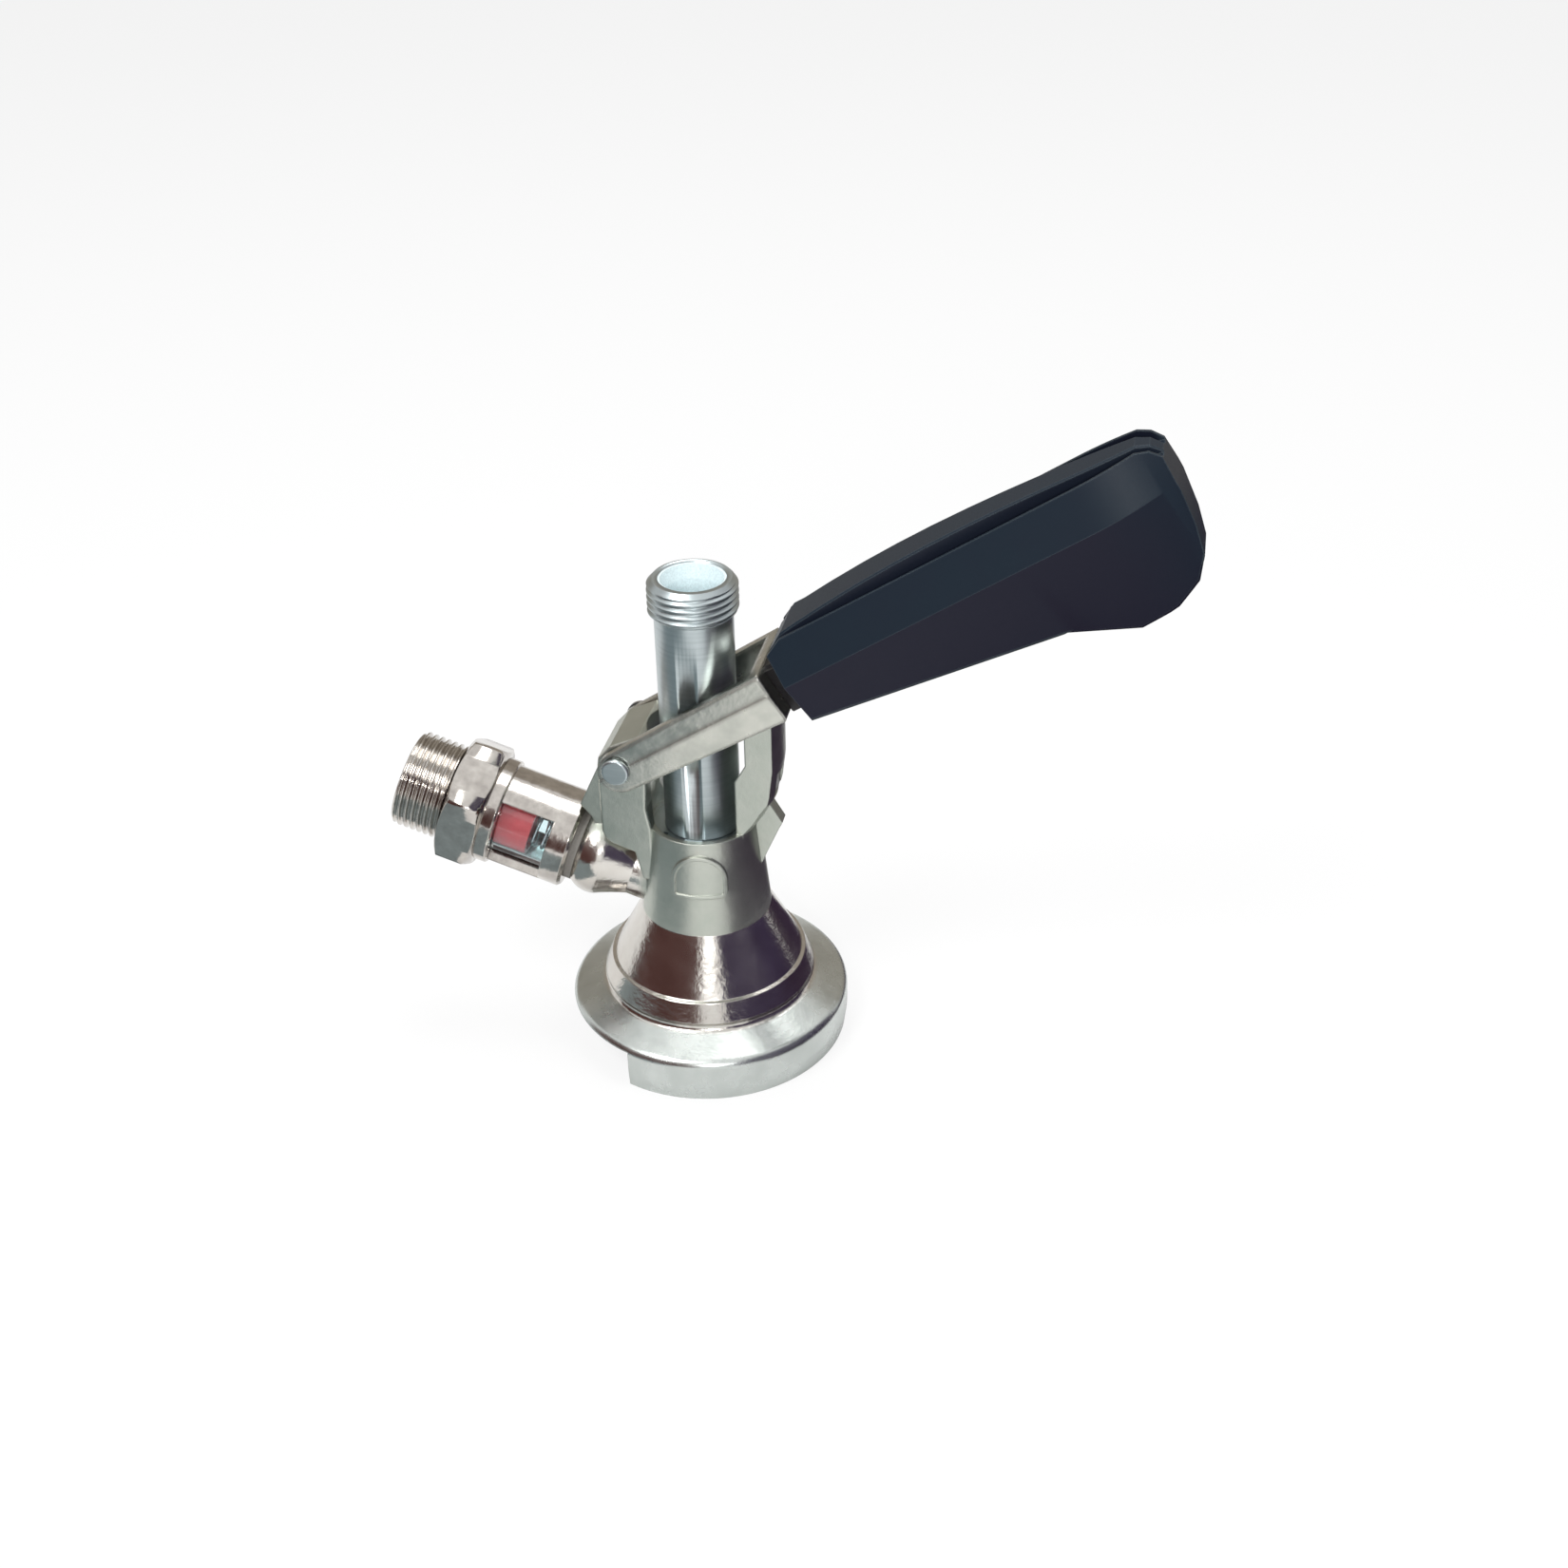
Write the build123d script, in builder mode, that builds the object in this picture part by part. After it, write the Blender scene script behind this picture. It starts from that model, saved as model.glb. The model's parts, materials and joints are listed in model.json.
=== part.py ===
from build123d import *
import os
from math import cos, pi, radians, sin, sqrt, tan

# Lever keg coupler that slides sideways onto a flat keg fitting.
# Millimetres, +Z up.  The origin is on the beer tube's axis, in the plane that the skirt
# stands on.  The handle points towards +X, the gas branch and the open side of the skirt
# towards -X, and all but the badge is symmetrical about the XZ plane.

# ---- driving sizes ------------------------------------------------------------------------
running_gap = 0.05          # radial gap of a turning or sliding fit
seat_gap = 0.3              # gap between parts that only pass each other

# keg slide
base_r = 38.0               # outside of skirt and flange
base_foot_r = 37.4          # the skirt's drafted foot
keg_collar_r = 33.0         # collar of the keg fitting that slides in
slide_gap = 0.5
lip_reach = 4.0             # how far the lips catch under the collar
lip_t = 4.5
slot_top_z = 11.0           # underside of the flange
jaw_end_x = -14.5           # where the two jaws of the skirt stop

# body
ledge_r, ledge_z = 36.2, 12.6
step_r, step_z = 29.6, 15.6
bead_r, bead_low_z = 28.7, 18.2
bead_top_r, bead_top_z = 26.5, 23.3
cone_low_r, cone_low_z = 25.6, 23.5
neck_low_r, neck_low_z = 17.5, 38.8
neck_top_r, neck_top_z = 14.75, 66.0
chamber_r = 12.6            # gas space round the tube
chamber_low_z = 15.0
bush_seat_r = 13.2
bush_seat_z = 51.5
bush_len = 6.0
seal_cord_r = 1.55          # O-ring on the tube
gland_len = 3.6
keg_seal_r = 20.5
keg_seal_bulge = 0.7        # how far the soft ring stands below the flange
badge_w, badge_h, badge_t = 14.8, 12.4, 0.8
badge_rim_w, badge_rim_t = 1.0, 0.4
badge_z = 55.0
badge_turn = 8.0            # the cast badge sits this far round from the front

# beer tube
tube_r = 10.0
tube_bore_r = 6.5
tube_top_z = 135.5
thread_r = 11.455           # G 5/8 outside
thread_len = 7.0
thread_chamfer = 1.5
insert_r, insert_len = 8.6, 14.0
insert_wall = 1.6
tip_seal_r = 9.8
tip_spigot_r = 8.0
tip_seal_len = 6.5
tip_low_z = 17.5            # lower end of the soft tip, handle raised
tip_mouth_r = 5.2

# check ball in the foot of the tube
ball_r = 4.8
ball_seat_r = 3.5
ball_seat_t = 5.0
ball_rise = 4.0
cage_bar_w, cage_bar_t = 1.6, 2.0

# lever
pivot_x, pivot_z = -18.8, 85.6
lever_angle = 33.0          # above the horizontal, handle raised
lever_throw = 38.0
pivot_r = 3.0
pivot_head_r, pivot_head_t = 3.7, 1.1
clip_r, clip_t, clip_groove_r = 4.7, 0.8, 2.4
arm_gap = 10.4              # inner face of each arm from the middle plane
arm_t = 3.4
arm_eye_r, arm_eye_t = 5.6, -1.1
fork_top, fork_bottom = 5.4, -8.5
parting_t, arm_draft = -0.4, 0.75   # the arms' outsides slope away from this line
fork_end_s = 48.0
bridge_r = 45.2             # inner face of the bridge, round the pivot
drive_pin_r = 2.4
drive_pin_reach = 2.0       # how far a pin enters its slot
drive_pin_seat_y = 7.6      # where a pin ends inside the tube's wall

# latch and handle; s runs along the lever from the pivot, t square to it
latch_t = -3.0              # height of the latch rod's axis
latch_pull = 4.0
bolt_half_w, bolt_half_h, bolt_len = 4.5, 4.0, 11.2
bolt_tip_s = 43.8           # nose of the bolt, handle pulled out
bolt_gap, pocket_gap = 0.1, 0.4
rod_r = 2.5
rod_end_s = 146.0
spigot_half_w, spigot_len = 6.2, 16.0
spigot_top, spigot_bottom = 3.4, -8.4
spigot_floor = 4.0
collar_half_w, collar_len = 7.8, 5.5
collar_top, collar_bottom = 4.6, -9.4
grip_gap = 0.4              # between the grip's mouth and what it slides over
grip_start_s, grip_end_s = 52.2, 158.0
grip_top_t = 10.2
grip_ridge_t, grip_ridge_w = -0.6, 13.0
grip_top_w = 10.0
grip_low_t, grip_low_w = -21.3, 8.5
grip_butt_w, grip_butt_len = 6.5, 20.0      # the butt narrows to this in plan
grip_groove = ((56.0, 2.0, 0.9), (156.0, 5.0, 1.7))    # station, width and depth at each end
grip_lip = 0.8              # left outside each groove
screw_s, screw_r, screw_len = 92.0, 2.5, 7.0
screw_socket_r, screw_socket_depth = 1.4, 2.5

# catch post and rear post of the body
catch_half_w = 8.0
catch_r = 22.2              # turned outside of the catch post
catch_inner_x, catch_relief_x = 13.4, 15.8
catch_top_z = 100.5
tooth_half_w = 2.0
rear_half_w = 10.0
rear_web_half_w = 4.5
post_bore_r = 13.3

# gas branch; s runs along the branch from the tube's axis
branch_angle = 18.3
branch_z = 42.0
boss_r, boss_waist_r, boss_end_s = 12.1, 8.8, 35.4
gas_port_r = 4.5
gasket_t, gasket_r = 2.0, 10.6
socket_r, socket_len = 8.0, 11.4
cage_r, cage_len = 13.5, 20.9
cage_ring_r, cage_ring_len = 14.5, 3.6
cage_floor = 3.6
cage_bore_r = 11.2
cage_spigot_len = 10.4
sleeve_wall = 1.9
sleeve_len = 17.0
sleeve_seal_t = 1.0
window_half_turn = 47.0
window_start_s, window_end_s = 43.5, 58.2
poppet_r, poppet_len = 8.6, 10.0
poppet_cup_r, poppet_cup_depth = 7.4, 6.0
poppet_nose_r, poppet_nose_len = 5.4, 3.2
poppet_seal_t, poppet_seal_gap = 0.9, 0.05
poppet_travel = 4.0
hex_af, hex_len = 32.0, 10.3
gas_thread_r, gas_thread_len = 13.22, 13.7
gas_bore_r = 8.0
gas_chamfer = 1.0
spring_r, spring_wire_w, spring_turns = 5.6, 0.9, 4.5
latch_spring_r, latch_wire_w, latch_spring_turns = 3.3, 0.7, 3.5
coil_sides = 16             # straight runs in one turn of a spring

# ---- derived places -----------------------------------------------------------------------
lip_half = keg_collar_r - lip_reach + slide_gap
slot_half = keg_collar_r + slide_gap
arm_out = arm_gap + arm_t
bush_top_z = bush_seat_z + bush_len
gland_low_z = bush_top_z + 2 * seal_cord_r
gland_top_z = gland_low_z + gland_len
lever_low_angle = lever_angle - lever_throw
drive_rise = -pivot_x * tan(radians(lever_angle))
drive_z = pivot_z + drive_rise
drive_travel = drive_rise + pivot_x * tan(radians(lever_low_angle))
tube_low_z = tip_low_z + 0.5
tip_seal_top_z = tip_low_z + tip_seal_len
ball_seat_top_z = tip_seal_top_z + ball_seat_t
ball_z = ball_seat_top_z + sqrt(ball_r ** 2 - ball_seat_r ** 2) + 0.05
cage_bar_z = ball_z + ball_r + ball_rise + 0.1
insert_low_z = tube_top_z - insert_len
thread_top_z = tube_top_z - thread_chamfer
thread_low_z = thread_top_z - thread_len
bolt_end_s = bolt_tip_s + bolt_len
spring_seat_s = fork_end_s + spigot_len - spigot_floor
cage_s = boss_end_s + gasket_t
cage_floor_s = cage_s + cage_floor
cage_barrel_end_s = cage_s + cage_len
cage_end_s = cage_barrel_end_s + cage_ring_len
sleeve_s = cage_floor_s + sleeve_seal_t
sleeve_end_s = sleeve_s + sleeve_len
sleeve_out_r = cage_bore_r - 2 * running_gap
seat_s = sleeve_end_s + sleeve_seal_t
poppet_end_s = seat_s - poppet_seal_t - poppet_seal_gap
poppet_s = poppet_end_s - poppet_len
hex_end_s = cage_end_s + hex_len
thread_end_s = hex_end_s + gas_thread_len


def pin_in_lever(angle):
    """Place (s, t) of a drive pin while the tube sinks evenly with the lever's turn."""
    a = radians(angle)
    rise = drive_rise - drive_travel * (lever_angle - angle) / lever_throw
    return (-pivot_x * cos(a) + rise * sin(a), pivot_x * sin(a) + rise * cos(a))


pin_path = [pin_in_lever(lever_low_angle + lever_throw * i / 38) for i in range(39)]
slot_start_s, slot_end_s = min(p[0] for p in pin_path), max(p[0] for p in pin_path)
slot_low_t, slot_high_t = min(p[1] for p in pin_path), max(p[1] for p in pin_path)
slot_mid_t = (slot_low_t + slot_high_t) / 2
slot_half_w = drive_pin_r + (slot_high_t - slot_low_t) / 2 + 2 * running_gap

side = Plane.XZ             # x and z of the middle plane, facing the front
lever_dir = Vector(cos(radians(lever_angle)), 0, sin(radians(lever_angle)))
lever_up = Vector(-sin(radians(lever_angle)), 0, cos(radians(lever_angle)))
pivot = Vector(pivot_x, 0, pivot_z)
lever_side = Plane(origin=pivot, x_dir=lever_dir, z_dir=(0, -1, 0))
low_dir = Vector(cos(radians(lever_low_angle)), 0, sin(radians(lever_low_angle)))
lowered_side = Plane(origin=pivot, x_dir=low_dir, z_dir=(0, -1, 0))
branch_dir = Vector(-cos(radians(branch_angle)), 0, sin(radians(branch_angle)))
branch_axis = Axis((0, 0, branch_z), branch_dir)
branch_side = Plane(origin=(0, 0, branch_z), x_dir=branch_dir, z_dir=(0, -1, 0))


def lever_section(s, t=0.0):
    """Plane across the lever at station s: x is the width, y is upwards."""
    return Plane(origin=pivot + lever_dir * s + lever_up * t, x_dir=(0, 1, 0), z_dir=lever_dir)


def branch_section(s):
    """Plane across the gas branch at station s."""
    return Plane(origin=Vector(0, 0, branch_z) + branch_dir * s, x_dir=(0, 1, 0), z_dir=branch_dir)


# seat of the set screw: a flat filed on the underside of the rod
screw_plane = Plane(
    origin=pivot + lever_dir * screw_s + lever_up * (latch_t - rod_r + 0.4), x_dir=lever_dir,
    z_dir=-lever_up,
)
grip_plan = Plane(origin=pivot, x_dir=lever_dir, z_dir=lever_up)


def shape(*points):
    """Straight-sided face through the points, in the sketch being drawn."""
    return Polygon(*points, align=None)


def band(low, high, inner, outer):
    """Half section of a ring round a vertical axis."""
    return shape((inner, low), (outer, low), (outer, high), (inner, high))


def branch_band(start, end, inner, outer):
    """Half section of a ring round the gas branch, on its side plane."""
    return shape((start, inner), (end, inner), (end, outer), (start, outer))


def latch_band(start, end, inner, outer):
    """Half section of a ring round the latch rod, on the lever's side plane."""
    return shape(
        (start, latch_t + inner), (end, latch_t + inner),
        (end, latch_t + outer), (start, latch_t + outer),
    )


def coil(start, along, length, radius, wire, turns):
    """Square-wire spring of straight runs, seated between start and start + length."""
    across = Vector(0, 1, 0)
    other = along.cross(across)
    steps = round(turns * coil_sides)
    path = []
    for i in range(steps + 1):
        a = 2 * pi * i / coil_sides
        rise = wire / 2 + 0.05 + (length - wire - 0.1) * i / steps
        path.append(start + along * rise + across * (radius * cos(a)) + other * (radius * sin(a)))
    with BuildLine() as runs:
        Polyline(*path)
    with BuildSketch(Plane(origin=path[0], x_dir=along, z_dir=path[1] - path[0])) as wire_end:
        Rectangle(wire, wire)
    sweep(wire_end.sketch, runs.line, transition=Transition.RIGHT)


def finish(builder, name):
    """Label a finished piece and write it."""
    builder.part.label = name
    export_step(builder.part, f"parts/{name}.step")


os.makedirs("parts", exist_ok=True)

# ---- body casting -------------------------------------------------------------------------
badge_a = radians(badge_turn)
badge_out = Vector(sin(badge_a), -cos(badge_a), 0)
badge_face = Plane(
    origin=badge_out * chamber_r + Vector(0, 0, badge_z),
    x_dir=(cos(badge_a), sin(badge_a), 0), z_dir=badge_out,
)


def badge_outline(inset):
    """Arch-topped badge, drawn in from its edge by the inset."""
    foot = badge_h * 0.38
    with Locations((0, -foot / 2)):
        RectangleRounded(badge_w - 2 * inset, foot - 2 * inset, 1.6 - inset)
    Ellipse(badge_w / 2 - inset, badge_h - foot - inset)
    with Locations((0, -badge_h)):
        Rectangle(2 * badge_w, 2 * (badge_h - foot + inset), mode=Mode.SUBTRACT)


def neck_skin(proud):
    """The neck's cone, proud of its surface by that much."""
    shape(
        (chamber_r - 1, neck_low_z), (neck_low_r + proud, neck_low_z),
        (neck_top_r + proud, neck_top_z), (chamber_r - 1, neck_top_z),
    )


with BuildPart() as badge_pad:
    with BuildSketch(badge_face):
        badge_outline(0)
    extrude(amount=2 * chamber_r)
    with BuildSketch(side):
        neck_skin(badge_t)
    revolve(axis=Axis.Z, mode=Mode.INTERSECT)

with BuildPart() as badge_field:
    with BuildSketch(badge_face):
        badge_outline(badge_rim_w)
    extrude(amount=2 * chamber_r)
    with BuildSketch(side):
        neck_skin(badge_t - badge_rim_t)
    revolve(axis=Axis.Z, mode=Mode.SUBTRACT)

# catch post: turned outside, cut to a slab, with a ledge that the bolt sits on
with BuildPart() as catch_post:
    with BuildSketch(side):
        shape(
            (12.0, 52), (12.0, neck_top_z), (catch_inner_x, neck_top_z), (catch_inner_x, 82),
            (catch_relief_x, 87), (catch_relief_x, catch_top_z), (catch_r - 0.8, catch_top_z),
            (catch_r, catch_top_z - 1.3), (catch_r, 86), (21.3, 78), (20.8, 75.8), (18.9, 72.8),
            (17.2, 69.5), (14.9, neck_top_z), (14.9, 52),
        )
    revolve(axis=Axis.Z)
    with Locations((catch_inner_x / 2, 0, 0)):
        Box(
            2 * catch_r, 2 * catch_half_w, 2 * catch_top_z + 2,
            align=(Align.MIN, Align.CENTER, Align.CENTER), mode=Mode.INTERSECT,
        )

# rear post: a slab that carries the pivot, its foot drawn in to the neck
with BuildPart() as rear_post:
    with BuildSketch(side):
        shape((-11.5, 50), (-11.5, neck_top_z), (-12.6, 72), (-12.2, 80), (-12.2, 93.4),
              (-13.6, 94), (-21.2, 90.4), (-24.6, 86.6), (-25, 84), (-25, 64), (-24.2, 62),
              (-22.6, 60.6), (-16.5, 58.4), (-14.6, 50))
    extrude(amount=rear_half_w, both=True)
    fillet(rear_post.faces().filter_by(Axis.Y).edges(), 0.7)

with BuildPart() as body_casting:
    # turned skirt, flange, bead, cone and neck
    with BuildSketch(side):
        with BuildLine():
            Polyline(
                (0, 0), (0, neck_top_z), (neck_top_r, neck_top_z), (neck_low_r, neck_low_z),
                (cone_low_r, cone_low_z), (bead_top_r, bead_top_z), (bead_r, bead_low_z),
            )
            ThreePointArc(
                (bead_r, bead_low_z), (bead_r - 0.3, step_z + 1.0), (step_r, step_z)
            )
            Line((step_r, step_z), (ledge_r, ledge_z))
            ThreePointArc(
                (ledge_r, ledge_z), (base_r - 0.5, ledge_z - 1.0), (base_r, slot_top_z - 0.8)
            )
            Polyline((base_r, slot_top_z - 0.8), (base_r, lip_t), (base_foot_r, 0), (0, 0))
        make_face()
    revolve(axis=Axis.Z)

    # the two posts, with a tooth under the catch and a gusset down to the gas boss
    add(catch_post.part)
    with BuildSketch(side):
        shape((13.6, 52), (15.4, 52), (17, 56), (20.6, 64.4), (21.8, 66.9), (18.1, 73.1),
              (16.6, 76), (13.6, 76))
    extrude(amount=tooth_half_w, both=True)

    add(rear_post.part)
    with BuildSketch(side):
        shape((-20, 52), (-20, 84), (-25, 84), (-32.2, 68.4), (-29.2, 64.6), (-26, 56))
    extrude(amount=rear_web_half_w, both=True)

    # gas boss
    with BuildSketch(branch_side):
        with BuildLine():
            Polyline((8, 0), (8, boss_waist_r), (20, boss_waist_r))
            ThreePointArc((20, boss_waist_r), (24, 10.2), (28.2, boss_r - 0.1))
            ThreePointArc((28.2, boss_r - 0.1), (32, boss_r), (boss_end_s, boss_r - 1.7))
            Polyline((boss_end_s, boss_r - 1.7), (boss_end_s, 0), (8, 0))
        make_face()
    revolve(axis=branch_axis)
    add(badge_pad.part)
    add(badge_field.part, mode=Mode.SUBTRACT)

    # keg slide: the wide groove for the collar and the narrower way between the lips
    for low, high, half in ((-1, lip_t, lip_half), (lip_t, slot_top_z, slot_half)):
        with BuildSketch(Plane.XY.offset(low)):
            Circle(half)
            with Locations((-base_r, 0)):
                Rectangle(2 * base_r, 2 * half)
        extrude(amount=high - low, mode=Mode.SUBTRACT)
    with BuildSketch(Plane.XY.offset(-1)):
        with Locations((jaw_end_x - base_r, 0)):
            Rectangle(2 * base_r, 3 * base_r)
    extrude(amount=slot_top_z + 1, mode=Mode.SUBTRACT)

    # seal recess, gas chamber, bush seat and the way between the posts
    with BuildSketch(side):
        shape(
            (0, slot_top_z - 1), (keg_seal_r, slot_top_z - 1), (keg_seal_r, chamber_low_z),
            (chamber_r, chamber_low_z), (chamber_r, bush_seat_z), (bush_seat_r, bush_seat_z),
            (bush_seat_r, neck_top_z), (post_bore_r, neck_top_z), (post_bore_r, 120), (0, 120),
        )
    revolve(axis=Axis.Z, mode=Mode.SUBTRACT)

    # gas way and the threaded socket in the boss
    with BuildSketch(branch_side):
        shape(
            (0, 0), (0, gas_port_r), (boss_end_s - socket_len, gas_port_r),
            (boss_end_s - socket_len, socket_r), (boss_end_s + 5, socket_r),
            (boss_end_s + 5, 0),
        )
    revolve(axis=branch_axis, mode=Mode.SUBTRACT)

    # pivot hole, and the pocket that the bolt springs into with the handle down
    with BuildSketch(lever_side):
        Circle(pivot_r)
    extrude(amount=2 * rear_half_w, both=True, mode=Mode.SUBTRACT)
    with BuildSketch(lowered_side):
        with Locations((bolt_tip_s - latch_pull - pocket_gap, latch_t)):
            Rectangle(
                catch_r, 2 * (bolt_half_h + pocket_gap), align=(Align.MIN, Align.CENTER)
            )
    extrude(amount=bolt_half_w + pocket_gap, both=True, mode=Mode.SUBTRACT)
finish(body_casting, "body_casting")

# ---- seals, bush and gland of the tube ------------------------------------------------------
with BuildPart() as keg_seal:
    with BuildSketch(side):
        shape(
            (chamber_r + 0.2, chamber_low_z), (keg_seal_r, chamber_low_z),
            (keg_seal_r, slot_top_z), (keg_seal_r - 1.2, slot_top_z - keg_seal_bulge),
            (chamber_r + 1.6, slot_top_z - keg_seal_bulge), (chamber_r + 0.2, slot_top_z + 0.8),
        )
    revolve(axis=Axis.Z)
finish(keg_seal, "keg_seal")

with BuildPart() as guide_bush:
    with BuildSketch(side):
        band(bush_seat_z, bush_top_z, tube_r + running_gap, bush_seat_r)
    revolve(axis=Axis.Z)
    chamfer(guide_bush.edges().filter_by(GeomType.CIRCLE).sort_by(SortBy.RADIUS)[0], 0.4)
finish(guide_bush, "guide_bush")

with BuildPart() as tube_seal:
    with BuildSketch(side):
        with Locations(((tube_r + bush_seat_r) / 2, bush_top_z + seal_cord_r)):
            RegularPolygon(seal_cord_r, 8, major_radius=False, rotation=22.5)
    revolve(axis=Axis.Z)
finish(tube_seal, "tube_seal")

with BuildPart() as gland_nut:
    with BuildSketch(side):
        band(gland_low_z, gland_top_z, tube_r + 2 * running_gap, bush_seat_r)
    revolve(axis=Axis.Z)
    with BuildSketch(Plane.XY.offset(gland_top_z)):
        with PolarLocations(bush_seat_r - 1.4, 4, start_angle=45):
            Circle(0.9)
    extrude(amount=-2.0, mode=Mode.SUBTRACT)
finish(gland_nut, "gland_nut")

# ---- beer tube ------------------------------------------------------------------------------
with BuildPart() as beer_tube:
    with BuildSketch(side):
        shape(
            (tube_bore_r, tube_low_z), (tip_spigot_r, tube_low_z),
            (tip_spigot_r, tip_seal_top_z), (tube_r - 0.4, tip_seal_top_z),
            (tube_r, tip_seal_top_z + 0.4), (tube_r, thread_low_z - 1.2),
            (thread_r, thread_low_z), (thread_r, thread_top_z),
            (thread_r - thread_chamfer, tube_top_z), (insert_r, tube_top_z),
            (insert_r, insert_low_z), (tube_bore_r, insert_low_z),
        )
    revolve(axis=Axis.Z)
    with BuildSketch(side.offset(drive_pin_seat_y)):
        with Locations((0, drive_z)):
            Circle(drive_pin_r)
    extrude(amount=tube_r, mode=Mode.SUBTRACT)
    with BuildSketch(side.offset(-drive_pin_seat_y)):
        with Locations((0, drive_z)):
            Circle(drive_pin_r)
    extrude(amount=-tube_r, mode=Mode.SUBTRACT)
finish(beer_tube, "beer_tube")

with BuildPart() as drive_pins:
    for facing in (1, -1):
        with BuildSketch(side.offset(facing * drive_pin_seat_y)):
            with Locations((0, drive_z)):
                Circle(drive_pin_r)
        extrude(amount=facing * (arm_gap + drive_pin_reach - drive_pin_seat_y))
finish(drive_pins, "drive_pins")

with BuildPart() as tip_seal:
    with BuildSketch(side):
        with BuildLine():
            Polyline(
                (tip_spigot_r, tip_seal_top_z), (tip_spigot_r, tube_low_z),
                (tip_mouth_r, tube_low_z), (tip_mouth_r, tip_low_z),
                (tip_seal_r - 1.6, tip_low_z),
            )
            ThreePointArc(
                (tip_seal_r - 1.6, tip_low_z), (tip_seal_r - 0.4, tip_low_z + 0.5),
                (tip_seal_r, tip_low_z + 1.8),
            )
            Polyline(
                (tip_seal_r, tip_low_z + 1.8), (tip_seal_r, tip_seal_top_z - 1.0),
                (tube_r - 0.6, tip_seal_top_z), (tip_spigot_r, tip_seal_top_z),
            )
        make_face()
    revolve(axis=Axis.Z)
finish(tip_seal, "tip_seal")

with BuildPart() as ball_seat:
    with BuildSketch(side):
        shape(
            (ball_seat_r + 0.8, tip_seal_top_z), (tube_bore_r, tip_seal_top_z),
            (tube_bore_r, ball_seat_top_z + 1.4), (tube_bore_r - 0.8, ball_seat_top_z + 1.4),
            (ball_seat_r, ball_seat_top_z), (ball_seat_r, tip_seal_top_z + 1.5),
        )
    revolve(axis=Axis.Z)
finish(ball_seat, "ball_seat")

with BuildPart() as check_ball:
    with Locations((0, 0, ball_z)):
        Sphere(ball_r)
finish(check_ball, "check_ball")

with BuildPart() as ball_retainer:
    with BuildSketch(Plane.XY.offset(cage_bar_z)):
        Circle(tube_bore_r)
        Circle(tube_bore_r - 0.9, mode=Mode.SUBTRACT)
        with PolarLocations(tube_bore_r / 2 - 0.3, 3):
            Rectangle(tube_bore_r - 0.6, cage_bar_w)
    extrude(amount=cage_bar_t)
finish(ball_retainer, "ball_retainer")

with BuildPart() as outlet_insert:
    with BuildSketch(side):
        shape(
            (tube_bore_r - 0.4, insert_low_z), (insert_r, insert_low_z),
            (insert_r, tube_top_z - 0.4), (insert_r - 0.6, tube_top_z - 0.4),
            (insert_r - insert_wall, tube_top_z - 4.0), (tube_bore_r - 0.4, insert_low_z + 3.0),
        )
    revolve(axis=Axis.Z)
finish(outlet_insert, "outlet_insert")

# ---- pivot pin ------------------------------------------------------------------------------
pin_face_y = arm_out + 0.15
with BuildPart() as pivot_pin:
    with BuildSketch(lever_side.offset(-pin_face_y - clip_t - 0.7)):
        Circle(pivot_r)
    extrude(amount=2 * pin_face_y + clip_t + 0.7)
    with BuildSketch(lever_side.offset(pin_face_y)):
        Circle(pivot_head_r)
    extrude(amount=pivot_head_t)
    fillet(pivot_pin.faces().sort_by(Axis.Y)[0].edges(), 0.7)
    with BuildSketch(lever_side.offset(-pin_face_y)):
        Circle(pivot_r + 1)
        Circle(clip_groove_r, mode=Mode.SUBTRACT)
    extrude(amount=-clip_t, mode=Mode.SUBTRACT)
finish(pivot_pin, "pivot_pin")

with BuildPart() as pivot_clip:
    with BuildSketch(lever_side.offset(-pin_face_y)):
        Circle(clip_r)
        Circle(clip_groove_r, mode=Mode.SUBTRACT)
        with Locations((0, -clip_r)):
            Rectangle(2 * clip_groove_r - 0.8, 2 * clip_r, mode=Mode.SUBTRACT)
    extrude(amount=-clip_t)
finish(pivot_clip, "pivot_clip")

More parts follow.
